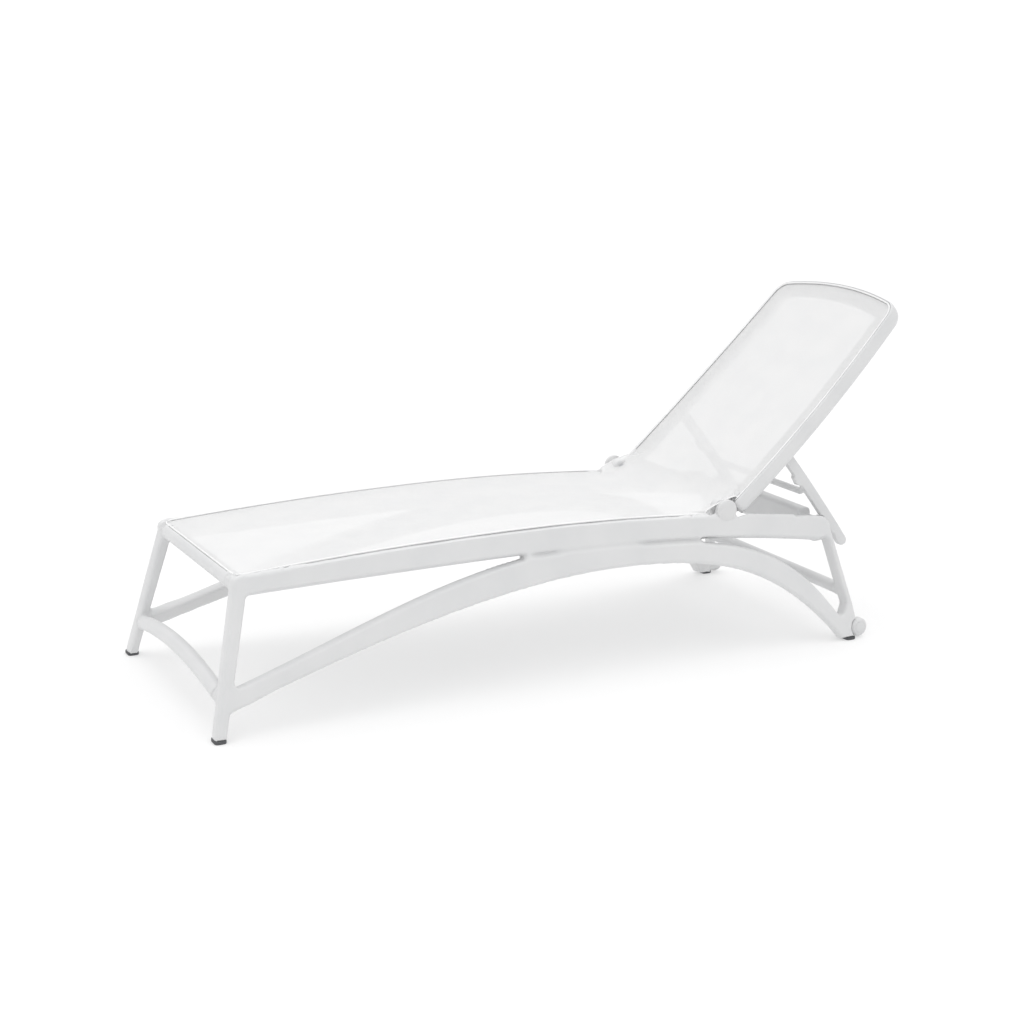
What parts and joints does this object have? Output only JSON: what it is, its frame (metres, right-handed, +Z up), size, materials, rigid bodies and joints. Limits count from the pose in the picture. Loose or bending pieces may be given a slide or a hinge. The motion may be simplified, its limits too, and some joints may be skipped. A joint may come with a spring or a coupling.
{
  "type": "sun lounger",
  "caption": "Low white lounger: arched side frames, mesh sling seat and a hinged mesh backrest held up by a swinging prop.",
  "frame": {"origin": "on the floor, under the middle of the outer box, with the backrest propped up", "axes": "+X towards the head end, +Z up, +Y to the right hand of someone who lies on it"},
  "size_m": [1.8604, 0.7102, 0.8354],
  "materials": {
    "moulding": "smooth satin white resin",
    "hinge_cap": "smooth satin white resin",
    "wheel": "smooth satin white resin",
    "pad_rubber": "dull dark grey rubber",
    "steel": "plain zinc-plated",
    "mesh": "fine open weave of coated yarn",
    "bead": "smooth welt"
  },
  "bodies": {
    "base": {"side_frame_left": "moulding", "side_frame_right": "moulding", "front_bar": "moulding", "front_brace": "moulding", "rear_beam": "moulding", "rear_bar": "moulding", "foot_pad_front_left": "pad_rubber", "foot_pad_front_right": "pad_rubber", "foot_pad_rear_left": "pad_rubber", "foot_pad_rear_right": "pad_rubber", "wheel_axle_left": "steel", "wheel_axle_right": "steel", "hinge_pin_left": "hinge_cap", "hinge_pin_right": "hinge_cap", "hinge_clip_left": "steel", "hinge_clip_right": "steel", "seat_sling": "mesh", "seat_bead": "bead"},
    "backrest": {"backrest_frame": "moulding", "back_sling": "mesh", "back_bead": "bead", "prop_pin_left": "steel", "prop_pin_right": "steel"},
    "prop": {"prop_frame": "moulding"},
    "wheel_left": {"wheel_left": "wheel"},
    "wheel_right": {"wheel_right": "wheel"}
  },
  "joints": [
    {"name": "backrest_recline", "type": "hinge", "parent": "base", "child": "backrest", "pos_m": [0.38918, 0, 0.352], "axis": [0, 1, 0], "range_deg": [0, 43.5]},
    {"name": "prop_swing", "type": "hinge", "parent": "backrest", "child": "prop", "pos_m": [0.5763, 0, 0.47442], "axis": [0, 1, 0], "range_deg": [-96.5, 0]},
    {"name": "wheel_left_spin", "type": "hinge", "parent": "base", "child": "wheel_left", "pos_m": [0.74768, -0.327, 0.0265], "axis": [0, 1, 0], "continuous": true},
    {"name": "wheel_right_spin", "type": "hinge", "parent": "base", "child": "wheel_right", "pos_m": [0.74768, 0.327, 0.0265], "axis": [0, 1, 0], "continuous": true}
  ],
  "couplings": [
    {"joint": "prop_swing", "follows": "backrest_recline", "ratio": -2.2184}
  ]
}
